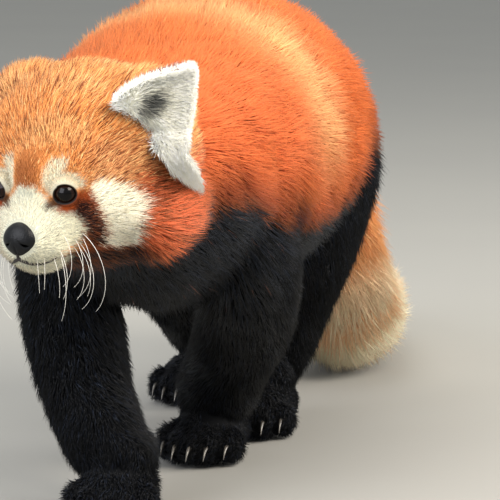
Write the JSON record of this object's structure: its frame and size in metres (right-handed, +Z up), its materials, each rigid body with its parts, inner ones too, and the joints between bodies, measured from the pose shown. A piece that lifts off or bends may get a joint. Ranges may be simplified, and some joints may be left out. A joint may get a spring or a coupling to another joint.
{
  "type": "red panda",
  "caption": "Still, life-size red panda in mid stride with its head turned and its bushy tail laid on the floor.",
  "frame": {"origin": "middle of the animal's footprint, on the floor", "axes": "+Z up, the animal faces -Y, its left side is +X, and its head and tail lie along Y"},
  "size_m": [0.2146, 0.9213, 0.3093],
  "materials": {
    "face_fur": "short dense fur, buff orange crown with white brows, cheeks and muzzle and a rust tear track",
    "body_fur": "deep dense fur, rust orange on the back and flanks, black on the chest and belly",
    "leg_fur": "dense black fur with a soft cool sheen",
    "tail_fur": "long bushy cream fur with faint orange rings and a dark tip",
    "ear_fur": "white fur with a dark grey patch inside and rust on the back",
    "eye": "wet dark brown",
    "nose_leather": "bare black skin, fine grained and slightly moist",
    "claw": "grey white horn",
    "whisker": "white bristle"
  },
  "bodies": {
    "root": {"ear_left": "ear_fur", "ear_right": "ear_fur", "eye_left": "eye", "eye_right": "eye", "foreleg_left": "leg_fur", "foreleg_right": "leg_fur", "forepaw_left": "leg_fur", "forepaw_right": "leg_fur", "head": "face_fur", "hindleg_left": "leg_fur", "hindleg_right": "leg_fur", "hindpaw_left": "leg_fur", "hindpaw_right": "leg_fur", "neck": "body_fur", "nose": "nose_leather", "tail_base": "tail_fur", "tail_middle": "tail_fur", "tail_tip": "tail_fur", "torso": "body_fur"}
  },
  "joints": []
}
